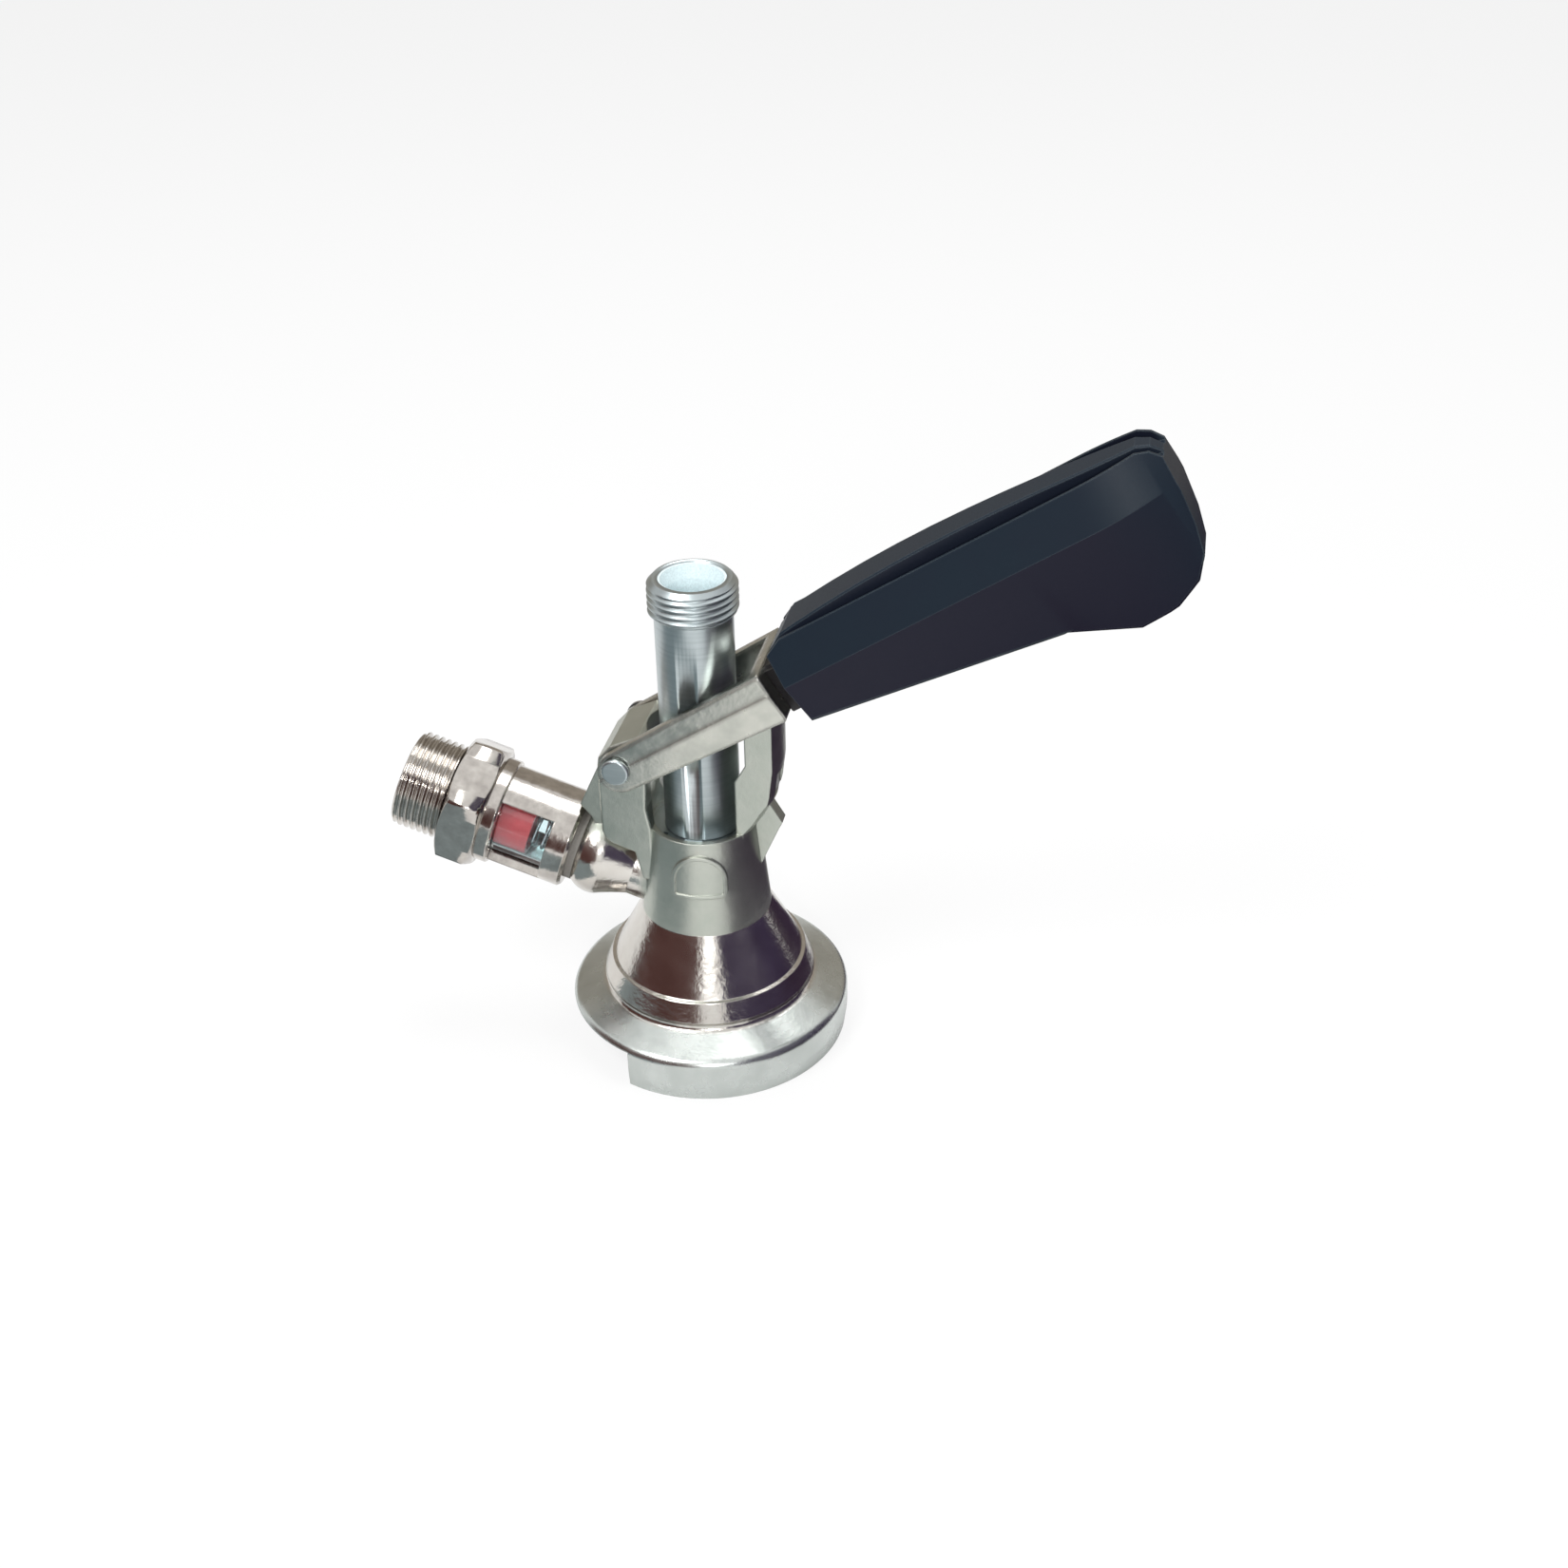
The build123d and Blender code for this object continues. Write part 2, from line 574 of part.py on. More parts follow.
# ---- lever fork -----------------------------------------------------------------------------
with BuildPart() as lever_fork:
    with BuildSketch(lever_side):
        with Locations((0, arm_eye_t)):
            Circle(arm_eye_r)
        shape(
            (0, arm_eye_t - arm_eye_r), (fork_end_s, fork_bottom),
            (fork_end_s, fork_top), (0, arm_eye_t + arm_eye_r),
        )
    extrude(amount=arm_out, both=True)
    with BuildSketch(lever_section(-2 * arm_eye_r)):
        shape(
            (-arm_out + arm_draft, fork_bottom), (-arm_out, parting_t - 0.25),
            (-arm_out, parting_t), (-arm_out + 0.3, parting_t + 0.3),
            (-arm_out + arm_draft, fork_top), (arm_out - arm_draft, fork_top),
            (arm_out - 0.3, parting_t + 0.3), (arm_out, parting_t),
            (arm_out, parting_t - 0.25), (arm_out - arm_draft, fork_bottom),
        )
    extrude(amount=fork_end_s + 3 * arm_eye_r, mode=Mode.INTERSECT)
    chamfer(lever_fork.edges().filter_by(Axis.Y).group_by(Axis.X)[-1], 0.6)
    with BuildSketch(lever_side):
        Circle(bridge_r)
    extrude(amount=arm_gap, both=True, mode=Mode.SUBTRACT)
    with BuildSketch(lever_side):
        with Locations((fork_end_s - 1, spigot_bottom)):
            Rectangle(spigot_len + 1, spigot_top - spigot_bottom, align=(Align.MIN, Align.MIN))
    extrude(amount=spigot_half_w, both=True)
    with BuildSketch(lever_side):
        with Locations((0, latch_t)):
            Rectangle(spring_seat_s, 2 * (bolt_half_h + bolt_gap), align=(Align.MIN, Align.CENTER))
    extrude(amount=bolt_half_w + bolt_gap, both=True, mode=Mode.SUBTRACT)
    with BuildSketch(lever_section(spring_seat_s - 1, latch_t)):
        Circle(rod_r + running_gap)
    extrude(amount=spigot_floor + 2, mode=Mode.SUBTRACT)
    with BuildSketch(lever_side):
        Circle(pivot_r + running_gap)
    extrude(amount=2 * arm_out, both=True, mode=Mode.SUBTRACT)
    with BuildSketch(lever_side):
        with Locations(((slot_start_s + slot_end_s) / 2, slot_mid_t)):
            SlotCenterToCenter(slot_end_s - slot_start_s, 2 * slot_half_w)
    extrude(amount=arm_gap + drive_pin_reach + 0.2, both=True, mode=Mode.SUBTRACT)
finish(lever_fork, "lever_fork")

with BuildPart() as fork_collar:
    with BuildSketch(lever_section(fork_end_s)):
        with Locations((0, (collar_top + collar_bottom) / 2)):
            RectangleRounded(2 * collar_half_w, collar_top - collar_bottom, 1.2)
        with Locations((0, (spigot_top + spigot_bottom) / 2)):
            Rectangle(2 * spigot_half_w, spigot_top - spigot_bottom, mode=Mode.SUBTRACT)
    extrude(amount=collar_len)
finish(fork_collar, "fork_collar")

# ---- latch and handle -----------------------------------------------------------------------
with BuildPart() as latch_rod:
    with BuildSketch(lever_side):
        with Locations((bolt_tip_s, latch_t)):
            Rectangle(bolt_len, 2 * bolt_half_h, align=(Align.MIN, Align.CENTER))
    extrude(amount=bolt_half_w, both=True)
    with BuildSketch(lever_section(bolt_end_s - 1, latch_t)):
        Circle(rod_r)
    extrude(amount=rod_end_s - bolt_end_s + 1)
    with BuildSketch(screw_plane):
        Circle(2 * rod_r)
    extrude(amount=rod_r, mode=Mode.SUBTRACT)
finish(latch_rod, "latch_rod")

with BuildPart() as grip:
    with BuildSketch(lever_side):
        shape(
            (grip_start_s, -12.3), (117.8, grip_low_t), (134, -29.3), (143.5, -28.7),
            (151, -25), (155, -19.7), (156.6, -12.5), (grip_end_s, -3), (grip_end_s, 7.0),
            (153.5, grip_top_t), (57, grip_top_t), (grip_start_s, 8.0),
        )
    extrude(amount=grip_ridge_w, both=True)
    with BuildSketch(grip_plan):
        shape(
            (grip_start_s - 1, -grip_ridge_w), (grip_end_s - grip_butt_len, -grip_ridge_w),
            (grip_end_s + 1, -grip_butt_w), (grip_end_s + 1, grip_butt_w),
            (grip_end_s - grip_butt_len, grip_ridge_w), (grip_start_s - 1, grip_ridge_w),
        )
    extrude(amount=grip_end_s, both=True, mode=Mode.INTERSECT)
    with BuildSketch(lever_section(grip_start_s - 1)):
        shape(
            (-grip_top_w, 12), (-grip_top_w, grip_top_t), (-grip_ridge_w, grip_ridge_t),
            (-grip_low_w, grip_low_t), (-grip_low_w + 2.2, -32), (grip_low_w - 2.2, -32),
            (grip_low_w, grip_low_t), (grip_ridge_w, grip_ridge_t),
            (grip_top_w, grip_top_t), (grip_top_w, 12),
        )
    extrude(amount=grip_end_s - grip_start_s + 2, mode=Mode.INTERSECT)
    # mouth that slides over the collar and the spigot
    pocket_end_s = fork_end_s + collar_len + latch_pull + grip_gap
    spigot_end_s = fork_end_s + spigot_len + latch_pull + grip_gap
    for end_s, half_w, top, bottom in (
        (pocket_end_s, collar_half_w, collar_top, collar_bottom),
        (spigot_end_s, spigot_half_w, spigot_top, spigot_bottom),
    ):
        with BuildSketch(lever_section(grip_start_s - 1)):
            with Locations((0, (top + bottom) / 2)):
                Rectangle(2 * (half_w + grip_gap), top - bottom + 2 * grip_gap)
        extrude(amount=end_s - grip_start_s + 1, mode=Mode.SUBTRACT)
    with BuildSketch(lever_section(grip_start_s, latch_t)):
        Circle(rod_r)
    extrude(amount=rod_end_s - grip_start_s, mode=Mode.SUBTRACT)
    # tapering groove inside each top edge, and the hole of the set screw
    for hand in (1, -1):
        sections = []
        for station, width, depth in grip_groove:
            lip = grip_top_w - grip_lip
            with BuildSketch(lever_section(station)) as trough:
                shape(
                    (hand * lip, grip_top_t + 0.1), (hand * (lip - 0.5), grip_top_t - depth),
                    (hand * (lip - width), grip_top_t + 0.1),
                )
            sections.append(trough.sketch)
        loft(sections, mode=Mode.SUBTRACT)
    with BuildSketch(screw_plane):
        Circle(screw_r)
    extrude(amount=2 * grip_end_s, mode=Mode.SUBTRACT)
finish(grip, "grip")

with BuildPart() as grip_screw:
    with BuildSketch(screw_plane):
        Circle(screw_r)
    extrude(amount=screw_len)
    with BuildSketch(screw_plane.offset(screw_len)):
        RegularPolygon(screw_socket_r, 6)
    extrude(amount=-screw_socket_depth, mode=Mode.SUBTRACT)
finish(grip_screw, "grip_screw")

with BuildPart() as latch_spring:
    coil(
        pivot + lever_dir * bolt_end_s + lever_up * latch_t, lever_dir,
        spring_seat_s - bolt_end_s, latch_spring_r, latch_wire_w, latch_spring_turns,
    )
finish(latch_spring, "latch_spring")

# ---- gas branch -----------------------------------------------------------------------------
with BuildPart() as boss_gasket:
    with BuildSketch(branch_side):
        branch_band(boss_end_s, cage_s, socket_r, gasket_r)
    revolve(axis=branch_axis)
finish(boss_gasket, "boss_gasket")

with BuildPart() as sight_cage:
    with BuildSketch(branch_side):
        shape(
            (cage_s - cage_spigot_len - gasket_t, gas_port_r), (cage_s - cage_spigot_len - gasket_t, socket_r),
            (cage_s, socket_r), (cage_s, cage_r - 0.8), (cage_s + 0.8, cage_r),
            (cage_barrel_end_s, cage_r), (cage_barrel_end_s, cage_ring_r - 0.3),
            (cage_barrel_end_s + 0.3, cage_ring_r), (cage_end_s - 0.3, cage_ring_r),
            (cage_end_s, cage_ring_r - 0.3), (cage_end_s, cage_bore_r),
            (cage_floor_s, cage_bore_r), (cage_floor_s, gas_port_r),
        )
    revolve(axis=branch_axis)
    for middle in (0, 180):
        wing = [radians(middle + window_half_turn * k / 2) for k in (-2, -1, 0, 1, 2)]
        with BuildSketch(branch_section(window_start_s)):
            shape((0, 0), *[(2 * cage_r * cos(a), 2 * cage_r * sin(a)) for a in wing])
        extrude(amount=window_end_s - window_start_s, mode=Mode.SUBTRACT)
finish(sight_cage, "sight_cage")

with BuildPart() as sight_sleeve:
    with BuildSketch(branch_side):
        branch_band(sleeve_s, sleeve_end_s, sleeve_out_r - sleeve_wall, sleeve_out_r)
    revolve(axis=branch_axis)
finish(sight_sleeve, "sight_sleeve")

with BuildPart() as sleeve_seals:
    with BuildSketch(branch_side):
        branch_band(cage_floor_s, sleeve_s, sleeve_out_r - sleeve_wall, sleeve_out_r)
        branch_band(sleeve_end_s, seat_s, sleeve_out_r - sleeve_wall, sleeve_out_r)
    revolve(axis=branch_axis)
finish(sleeve_seals, "sleeve_seals")

with BuildPart() as inlet_nipple:
    with BuildSketch(branch_section(cage_end_s)):
        RegularPolygon(hex_af / 2, 6, major_radius=False, rotation=30)
    extrude(amount=hex_len)
    with BuildSketch(branch_side):
        shape(
            (cage_end_s, 0), (cage_end_s, hex_af / 2), (cage_end_s + 1.6, hex_af / 2 + 2.6),
            (hex_end_s - 1.6, hex_af / 2 + 2.6), (hex_end_s, hex_af / 2), (hex_end_s, 0),
        )
    revolve(axis=branch_axis, mode=Mode.INTERSECT)
    with BuildSketch(branch_side):
        shape(
            (seat_s, 0), (seat_s, cage_bore_r), (cage_end_s, cage_bore_r),
            (hex_end_s, gas_thread_r), (thread_end_s - gas_chamfer, gas_thread_r),
            (thread_end_s, gas_thread_r - gas_chamfer), (thread_end_s, 0),
        )
    revolve(axis=branch_axis)
    with BuildSketch(branch_side):
        shape(
            (seat_s - 1, 0), (seat_s - 1, gas_bore_r), (thread_end_s - 1.2, gas_bore_r),
            (thread_end_s + 0.8, gas_bore_r + 2.0), (thread_end_s + 0.8, 0),
        )
    revolve(axis=branch_axis, mode=Mode.SUBTRACT)
finish(inlet_nipple, "inlet_nipple")

with BuildPart() as valve_poppet:
    with BuildSketch(branch_side):
        shape(
            (poppet_s, poppet_cup_r), (poppet_s, poppet_r), (poppet_end_s - 1.0, poppet_r),
            (poppet_end_s, poppet_r - 1.0), (poppet_end_s, poppet_nose_r),
            (poppet_end_s + poppet_nose_len, poppet_nose_r - 1.2),
            (poppet_end_s + poppet_nose_len, 0), (poppet_s + poppet_cup_depth, 0),
            (poppet_s + poppet_cup_depth, poppet_cup_r),
        )
    revolve(axis=branch_axis)
finish(valve_poppet, "valve_poppet")

with BuildPart() as poppet_seal:
    with BuildSketch(branch_side):
        branch_band(poppet_end_s, poppet_end_s + poppet_seal_t, poppet_nose_r, poppet_r)
    revolve(axis=branch_axis)
finish(poppet_seal, "poppet_seal")

with BuildPart() as valve_spring:
    coil(
        branch_axis.position + branch_dir * cage_floor_s, branch_dir,
        poppet_s + poppet_cup_depth - cage_floor_s, spring_r, spring_wire_w, spring_turns,
    )
finish(valve_spring, "valve_spring")
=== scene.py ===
"""Looks of a lever keg coupler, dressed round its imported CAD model.

Metres, in the CAD model's frame: +Z runs up the beer tube, +X towards the handle and -X towards
the gas branch.  The origin lies on the tube's axis, in the plane that the skirt stands on.  The
sizes named below are in millimetres, and s is a station along the branch or along the handle.
"""
import bmesh
import bpy
import json
from math import atan2, cos, hypot, pi, radians, sin, tan
from mathutils import Matrix, Vector


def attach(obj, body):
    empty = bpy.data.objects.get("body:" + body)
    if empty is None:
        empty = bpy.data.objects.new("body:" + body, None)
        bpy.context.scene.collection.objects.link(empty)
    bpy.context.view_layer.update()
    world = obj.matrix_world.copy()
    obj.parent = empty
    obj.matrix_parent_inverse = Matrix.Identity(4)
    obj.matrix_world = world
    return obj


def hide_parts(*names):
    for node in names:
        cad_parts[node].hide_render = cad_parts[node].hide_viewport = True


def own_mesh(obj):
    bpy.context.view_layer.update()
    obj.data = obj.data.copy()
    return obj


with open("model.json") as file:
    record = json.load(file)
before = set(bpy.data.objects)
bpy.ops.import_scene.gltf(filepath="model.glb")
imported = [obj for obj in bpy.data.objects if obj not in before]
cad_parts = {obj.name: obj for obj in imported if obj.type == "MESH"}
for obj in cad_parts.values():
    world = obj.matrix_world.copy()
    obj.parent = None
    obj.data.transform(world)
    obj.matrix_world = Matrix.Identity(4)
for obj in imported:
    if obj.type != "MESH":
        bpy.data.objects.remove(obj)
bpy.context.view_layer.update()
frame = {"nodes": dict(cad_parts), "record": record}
nodes = frame["nodes"]
MM = 0.001

# ---- sizes that the dressed pieces share with the CAD model ------------------------------------
neck_foot_z, ledge_top_z = 38.8, 15.7     # the polished cone lies between these
boss_root_x, boss_top_z = -15.0, 52.5     # the gas boss is polished too, beyond and below these

branch_angle = radians(18.3)
branch_root = Vector((0, 0, 42.0)) * MM
branch_dir = Vector((-cos(branch_angle), 0, sin(branch_angle)))

pipe_pitch = 1.814                        # both hose threads, 14 to the inch
thread_margin = 0.05                      # faces this far beyond the plain form are thread
tube_r = 10.0
outlet_r, outlet_low_z, outlet_top_z = 11.455, 125.8, 135.5
outlet_depth, outlet_chamfer, outlet_runout = 0.75, 1.5, 1.2
inlet_r, hex_end_s, inlet_end_s = 13.22, 72.2, 85.9
inlet_depth, inlet_chamfer, inlet_core_r = 0.95, 1.0, 11.9

spring_floor_s, spring_top_s = 41.0, 55.05
spring_r, spring_wire_r, spring_turns, poppet_travel = 5.6, 0.5, 4.5, 4.0

lever_pivot = Vector((-18.8, 0, 85.6)) * MM
lever_dir, lever_up = Vector((0.8386706, 0, 0.5446390)), Vector((-0.5446390, 0, 0.8386706))

# ---- the grip, along the handle ----------------------------------------------------------------
# side view as (station, height), and half width as (height, half width)
grip_belly = (
    (52.2, -12.3), (117.8, -21.3), (134, -29.3), (143.5, -28.7), (151, -25), (155, -19.7),
    (156.8, -12.5), (158, -3),
)
grip_back = ((52.2, 8.0), (57, 10.2), (153, 10.0), (156, 8.6), (158, 6.0))
grip_flank = ((-32, 6.3), (-21.3, 8.5), (-0.6, 13.0), (10.2, 10.0))
grip_stations = (
    52.2, 54, 57, 62, 70, 80, 90, 100, 110, 117.8, 121, 126, 130, 134, 136, 139, 141.5, 144, 147,
    149, 151, 153, 154.2, 155, 156, 156.8, 157.5, 158,
)
butt_start_s, butt_length, butt_pinch = 137, 21, 0.45      # the sides draw in towards the butt
rib_start_s, rib_length = 54, 100
rib_half_w, rib_taper, rib_crown, rib_skew = 7.8, 3.6, 2.8, 0.85
rib_edge_w, rib_edge_h = 0.5, 0.4
trough_depth, trough_growth, trough_end_s, trough_ramp = 0.4, 3.4, 158.1, 3
lip_w, lip_edge = 1.2, 0.8
# pockets behind the mouth, as (end station, half width, top, bottom)
pocket_start_s = 50
grip_pockets = ((57.9, 8.2, 5.0, -9.8), (68.4, 6.6, 3.8, -8.8), (137.0, 2.5, -0.5, -5.5))


# ---- node trees --------------------------------------------------------------------------------
class Wire:
    """One value in a node tree: operators on it add Math nodes."""

    def __init__(self, owner, socket):
        self.owner, self.socket = owner, socket

    def math(self, operation, *others):
        return self.owner.math(operation, self, *others)

    def __add__(self, other): return self.math("ADD", other)
    def __sub__(self, other): return self.math("SUBTRACT", other)
    def __rsub__(self, other): return self.owner.math("SUBTRACT", other, self)
    def __mul__(self, other): return self.math("MULTIPLY", other)
    def __truediv__(self, other): return self.math("DIVIDE", other)
    def __abs__(self): return self.math("ABSOLUTE")

    def clamp(self):
        return self.owner.node("ShaderNodeClamp", {}, {0: self})


class Tree:
    """A node tree written node by node."""

    def node(self, kind, settings, inputs, out=0):
        """One node: its settings first, then the values or wires of its sockets."""
        made = self.tree.nodes.new(kind)
        for key, value in settings.items():
            if key == "stops":
                for stop, (at, colour) in zip(made.color_ramp.elements, value):
                    stop.position, stop.color = at, colour
            else:
                setattr(made, key, value)
        for key, value in inputs.items():
            if isinstance(value, Wire):
                self.tree.links.new(value.socket, made.inputs[key])
            else:
                made.inputs[key].default_value = value
        return Wire(self, made.outputs[out])

    def math(self, operation, *values):
        return self.node("ShaderNodeMath", {"operation": operation}, dict(enumerate(values)))

    def axis(self, vector, i):
        """One coordinate of a vector, 0 to 2."""
        return self.node("ShaderNodeSeparateXYZ", {}, {0: vector}, out=i)

    def end(self, kind, result):
        """The tree's last node, with the result in its first socket."""
        last = self.tree.nodes.new(kind)
        self.tree.links.new(result.socket, last.inputs[0])


class Stage(Tree):
    """The node tree of a floor, a card or the world, written from nothing."""

    def __init__(self, owner):
        owner.use_nodes = True
        self.tree = owner.node_tree
        self.tree.nodes.clear()


class Recipe(Tree):
    """A Geometry Nodes tree with named sizes, which ends in a plain mesh with its finish."""

    def __init__(self, name, *sizes):
        self.tree = bpy.data.node_groups.new(name, "GeometryNodeTree")
        sockets = self.tree.interface
        sockets.new_socket("Geometry", in_out="OUTPUT", socket_type="NodeSocketGeometry")
        kinds = {size: "NodeSocketFloat" for size in sizes} | {"Finish": "NodeSocketMaterial"}
        self.keys = {
            size: sockets.new_socket(size, in_out="INPUT", socket_type=kind).identifier
            for size, kind in kinds.items()
        }
        self.entry = self.tree.nodes.new("NodeGroupInput")

    def size(self, name):
        return Wire(self, self.entry.outputs[name])

    def close(self, geometry):
        real = self.node("GeometryNodeRealizeInstances", {}, {0: geometry})
        done = self.node(
            "GeometryNodeSetMaterial", {}, {"Geometry": real, "Material": self.size("Finish")})
        self.end("NodeGroupOutput", done)

    def grow(self, name, finish, place, **sizes):
        """The recipe's mesh at those sizes, moved to its place."""
        obj = bpy.data.objects.new(name, bpy.data.meshes.new(name))
        bpy.context.scene.collection.objects.link(obj)
        modifier = obj.modifiers.new(name, "NODES")
        modifier.node_group = self.tree
        for size, value in sizes.items():
            modifier[self.keys[size.replace("_", " ")]] = value
        modifier[self.keys["Finish"]] = finish.material
        applied(obj)
        obj.data.transform(place)
        return obj


class Paint(Tree):
    """A material with a Principled shader."""

    def __init__(self, name, **fixed):
        self.material = bpy.data.materials.new(name)
        self.material.use_nodes = True
        self.tree = self.material.node_tree
        self.shader = self.tree.nodes["Principled BSDF"]
        for socket, value in fixed.items():
            self.shader.inputs[socket.replace("_", " ")].default_value = value
        self.place = self.node("ShaderNodeTexCoord", {}, {}, out="Object")

    def noise(self, size, detail=2.0, roughness=0.5, vector=None):
        """Noise from 0 to 1 whose blotches are about size millimetres."""
        return self.node("ShaderNodeTexNoise", {}, {
            "Vector": vector or self.place, "Scale": 1 / (size * MM),
            "Detail": detail, "Roughness": roughness,
        })

    def blend(self, value, low, high, start=0.3, end=0.7):
        """Colour that goes from low to high while the value goes from start to end."""
        stops = ((start, (*low, 1)), (end, (*high, 1)))
        return self.node("ShaderNodeValToRGB", {"stops": stops}, {0: value})

    def mix(self, factor, first, second):
        sockets = {0: factor, 6: first, 7: second}
        return self.node("ShaderNodeMix", {"data_type": "RGBA"}, sockets, out=2)

    def soft_edge(self, width):
        """Normal that rounds the piece's edges over that many millimetres."""
        return self.node("ShaderNodeBevel", {"samples": 4}, {"Radius": width * MM})

    def bump(self, height, depth, normal):
        """Normal of a surface with that height, 0 to 1, over depth millimetres."""
        return self.node("ShaderNodeBump", {}, {
            "Height": height, "Distance": depth * MM, "Strength": 1.0, "Normal": normal,
        })

    def drive(self, **sockets):
        """Links wires to the shader's own sockets."""
        for socket, wire in sockets.items():
            self.tree.links.new(wire.socket, self.shader.inputs[socket.replace("_", " ")])
        return self


# ---- finishes ----------------------------------------------------------------------------------
def plated_casting():
    """Plating over a casting.  The cone and the gas boss are polished and the neck is satin, with
    an orange-peel skin, and the skirt and its ledge lie between."""
    p = Paint("plated_casting", Metallic=1.0)
    along_x, height = p.axis(p.place, 0) * (1 / MM), p.axis(p.place, 2) * (1 / MM)
    beyond_root = ((boss_root_x - along_x) * 0.5).clamp()
    below_top = ((boss_top_z - along_x * tan(branch_angle) - height) * 0.5).clamp()
    neck = ((height - neck_foot_z) * 2.0 + 0.5).clamp() * (1 - beyond_root * below_top)
    skirt = ((ledge_top_z - height) * 2.0 + 0.5).clamp()
    peel = p.noise(2.0, 3.0, 0.65)
    patch = p.noise(9.0, 3.0, 0.6)
    polished = p.blend(patch, (0.54, 0.51, 0.47), (0.65, 0.63, 0.59))
    blasted = p.blend(patch, (0.42, 0.45, 0.40), (0.49, 0.51, 0.46))
    brushed = p.blend(patch, (0.48, 0.51, 0.49), (0.58, 0.61, 0.59))
    return p.drive(
        Base_Color=p.mix(skirt, p.mix(neck, polished, blasted), brushed),
        Roughness=patch * 0.10 + 0.12 + neck * 0.20 + skirt * 0.10,
        Normal=p.bump(peel * (1 - skirt * 0.6), 0.10, p.soft_edge(0.5)),
    )


def plated_arm():
    """The fork is plated bright over its forged skin."""
    p = Paint("plated_arm", Metallic=1.0)
    patch = p.noise(5.0, 3.0, 0.6)
    return p.drive(
        Base_Color=p.blend(patch, (0.42, 0.43, 0.39), (0.55, 0.55, 0.50)),
        Roughness=patch * 0.14 + 0.18,
        Normal=p.bump(p.noise(1.8), 0.04, p.soft_edge(1.8)),
    )


def plated_brass():
    """Bright plating on turned parts, a little warm."""
    p = Paint("plated_brass", Metallic=1.0)
    patch = p.noise(4.0, 3.0, 0.6)
    return p.drive(
        Base_Color=p.blend(patch, (0.44, 0.41, 0.38), (0.60, 0.57, 0.53)),
        Roughness=patch * 0.12 + 0.09,
        Normal=p.bump(p.noise(1.6, 1.0), 0.03, p.soft_edge(0.4)),
    )


def turned_steel():
    """Stainless steel with fine rings from the lathe, and a cool cast."""
    p = Paint("turned_steel", Metallic=1.0)
    flat = p.node("ShaderNodeMapping", {}, {"Vector": p.place, "Scale": (0.03, 0.03, 1.0)})
    rings = p.noise(0.7, vector=flat)
    return p.drive(
        Base_Color=p.blend(rings, (0.40, 0.45, 0.46), (0.46, 0.51, 0.52)),
        Roughness=rings * 0.06 + 0.31,
    )


def bright_wire():
    """Drawn spring wire."""
    p = Paint("bright_wire", Metallic=1.0, Base_Color=(0.50, 0.50, 0.52, 1))
    return p.drive(Roughness=p.noise(0.6) * 0.12 + 0.20)


def moulded(name, colour, roughness, grain, **fixed):
    """Moulded plastic or rubber with a fine eroded grain, that many millimetres deep."""
    p = Paint(name, **fixed)
    speck = p.noise(0.5, 3.0, 0.6)
    lift = [min(1, c * 1.25 + 0.002) for c in colour]
    return p.drive(
        Base_Color=p.blend(speck, colour, lift, start=0.35, end=0.75),
        Roughness=speck * 0.12 + (roughness - 0.06),
        Normal=p.bump(speck, grain, p.soft_edge(0.3)),
    )


def grip_wear_and_painted_light():
    """Navy moulding, with painted light from above: faces that look up are painted bluer and
    lighter. The edges are paled partly by handling wear and partly as a painted highlight.
    """
    p = Paint("grip_plastic", Specular_IOR_Level=0.16)
    speck = p.noise(0.5, 3.0, 0.6)
    smear = p.noise(14.0, 3.0, 0.6)
    soft = p.soft_edge(0.45)
    true = p.node("ShaderNodeNewGeometry", {}, {}, out="Normal")
    bend = p.node(
        "ShaderNodeVectorMath", {"operation": "DOT_PRODUCT"}, {0: soft, 1: true}, out="Value")
    # pale edges: partly handling wear, partly a painted highlight along the rounded edges
    wear_and_edge_highlight = ((1 - bend) * 7.0).clamp() * (smear * 0.7 + 0.25)
    # painted light: faces that look up get a lighter, bluer navy, as if lit from above
    lean = p.node("ShaderNodeTexCoord", {}, {}, out="Normal")
    painted_top_light = (p.axis(lean, 2) * 2.2 + 0.55).clamp()
    plain = p.mix(painted_top_light, (0.0070, 0.0065, 0.0170, 1), (0.0080, 0.0165, 0.0260, 1))
    # random mottle laid over the painted top light
    mottle_and_top_light = p.mix(smear * 0.35, plain, (0.0110, 0.0085, 0.0200, 1))
    return p.drive(
        Base_Color=p.mix(wear_and_edge_highlight, mottle_and_top_light, (0.085, 0.110, 0.125, 1)),
        Roughness=speck * 0.12 + 0.36,
        Normal=p.bump(speck, 0.012, soft),
    )


finishes = {
    "plated_casting": plated_casting(),
    "plated_brass": plated_brass(),
    "stainless": turned_steel(),
    "spring_steel": bright_wire(),
    "grip_plastic": grip_wear_and_painted_light(),
    "black_plastic": moulded(
        "black_plastic", (0.006, 0.005, 0.006), 0.34, 0.01, Specular_IOR_Level=0.35),
    "black_rubber": moulded("black_rubber", (0.014, 0.013, 0.013), 0.60, 0.02),
    "bearing_plastic": moulded("bearing_plastic", (0.72, 0.70, 0.62), 0.40, 0.01),
    "white_plastic": moulded("white_plastic", (0.66, 0.76, 0.78), 0.32, 0.01),
    "clear_plastic": Paint(
        "clear_plastic", Base_Color=(0.86, 0.97, 0.99, 1), Roughness=0.05, IOR=1.49,
        Transmission_Weight=1.0),
    "red_plastic": moulded("red_plastic", (0.62, 0.045, 0.055), 0.22, 0.01),
}
own_finishes = {
    "lever_fork": plated_arm(),
    "boss_gasket": moulded("grey_fibre", (0.17, 0.16, 0.145), 0.70, 0.03),
}


